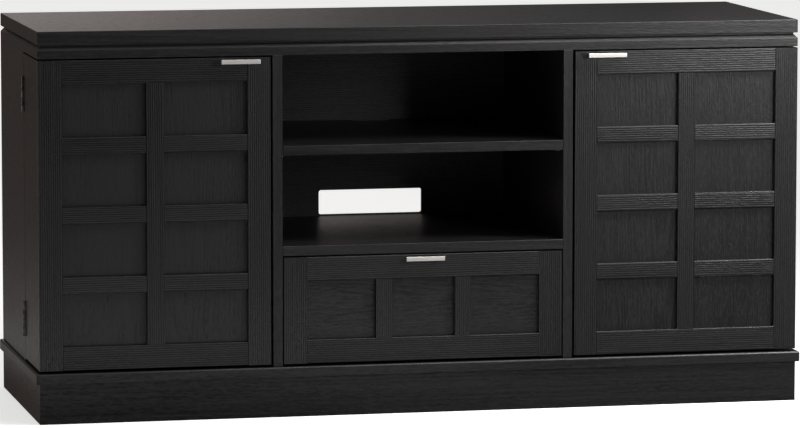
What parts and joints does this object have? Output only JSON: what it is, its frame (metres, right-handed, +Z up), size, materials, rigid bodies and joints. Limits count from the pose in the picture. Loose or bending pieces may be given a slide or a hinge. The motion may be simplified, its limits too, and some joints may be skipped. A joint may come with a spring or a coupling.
{
  "type": "media cabinet",
  "caption": "Low wide media cabinet with an open shelved bay over a panelled drawer, flanked by deep panelled box doors on exposed barrel hinges, on a lipped base.",
  "frame": {"origin": "on the floor, midway between the ends and midway between the handles' faces and the back", "axes": "+Z up; -Y is the front, where the doors and the drawer open; +X to the right as one faces the front"},
  "size_m": [1.59, 0.554, 0.79],
  "materials": {
    "black_oak": "black-brown stain on open-grained oak veneer, satin lacquer",
    "handle_nickel": "satin nickel plate",
    "hinge_metal": "dark antique nickel plate",
    "runner_zinc": "zinc-plated sheet steel"
  },
  "bodies": {
    "case": {"top_slab": "black_oak", "top_neck": "black_oak", "crown_board": "black_oak", "bottom_board": "black_oak", "plinth_front": "black_oak", "plinth_back": "black_oak", "plinth_left": "black_oak", "plinth_right": "black_oak", "back_board": "black_oak", "fixed_shelf": "black_oak", "adjustable_shelf": "black_oak", "side_board_left": "black_oak", "divider_left": "black_oak", "compartment_shelf_left": "black_oak", "door_catch_left": "hinge_metal", "runner_case_left": "runner_zinc", "hinge_left_lower_case_leaf": "hinge_metal", "hinge_left_upper_case_leaf": "hinge_metal", "side_board_right": "black_oak", "divider_right": "black_oak", "compartment_shelf_right": "black_oak", "door_catch_right": "hinge_metal", "runner_case_right": "runner_zinc", "hinge_right_lower_case_leaf": "hinge_metal", "hinge_right_upper_case_leaf": "hinge_metal"},
    "door_left": {"door_left_frame": "black_oak", "door_left_panel": "black_oak", "door_left_handle": "handle_nickel", "door_left_outer_side": "black_oak", "door_left_inner_side": "black_oak", "door_left_box_bottom": "black_oak", "door_left_box_top": "black_oak", "door_left_rack_1": "black_oak", "door_left_rack_2": "black_oak", "door_left_strike_plate": "hinge_metal", "hinge_left_lower_door_leaf": "hinge_metal", "hinge_left_upper_door_leaf": "hinge_metal"},
    "door_right": {"door_right_frame": "black_oak", "door_right_panel": "black_oak", "door_right_handle": "handle_nickel", "door_right_outer_side": "black_oak", "door_right_inner_side": "black_oak", "door_right_box_bottom": "black_oak", "door_right_box_top": "black_oak", "door_right_rack_1": "black_oak", "door_right_rack_2": "black_oak", "door_right_strike_plate": "hinge_metal", "hinge_right_lower_door_leaf": "hinge_metal", "hinge_right_upper_door_leaf": "hinge_metal"},
    "drawer": {"drawer_frame": "black_oak", "drawer_panel": "black_oak", "drawer_handle": "handle_nickel", "drawer_side_left": "black_oak", "drawer_side_right": "black_oak", "drawer_back": "black_oak", "drawer_floor": "black_oak", "runner_drawer_left": "runner_zinc", "runner_drawer_right": "runner_zinc"},
    "runner_middle_left": {"runner_middle_left": "runner_zinc"},
    "runner_middle_right": {"runner_middle_right": "runner_zinc"}
  },
  "joints": [
    {"name": "door_left_hinge", "type": "hinge", "parent": "case", "child": "door_left", "pos_m": [-0.7885, -0.059, 0.42], "axis": [0, 0, -1], "range_deg": [0, 165]},
    {"name": "door_right_hinge", "type": "hinge", "parent": "case", "child": "door_right", "pos_m": [0.7885, -0.059, 0.42], "axis": [0, 0, 1], "range_deg": [0, 165]},
    {"name": "drawer_slide", "type": "slide", "parent": "case", "child": "drawer", "axis": [0, -1, 0], "range_m": [0, 0.4]},
    {"name": "runner_middle_left_slide", "type": "slide", "parent": "case", "child": "runner_middle_left", "axis": [0, -1, 0], "range_m": [0, 0.2]},
    {"name": "runner_middle_right_slide", "type": "slide", "parent": "case", "child": "runner_middle_right", "axis": [0, -1, 0], "range_m": [0, 0.2]}
  ],
  "couplings": [
    {"joint": "runner_middle_left_slide", "follows": "drawer_slide", "ratio": 0.5},
    {"joint": "runner_middle_right_slide", "follows": "drawer_slide", "ratio": 0.5}
  ]
}
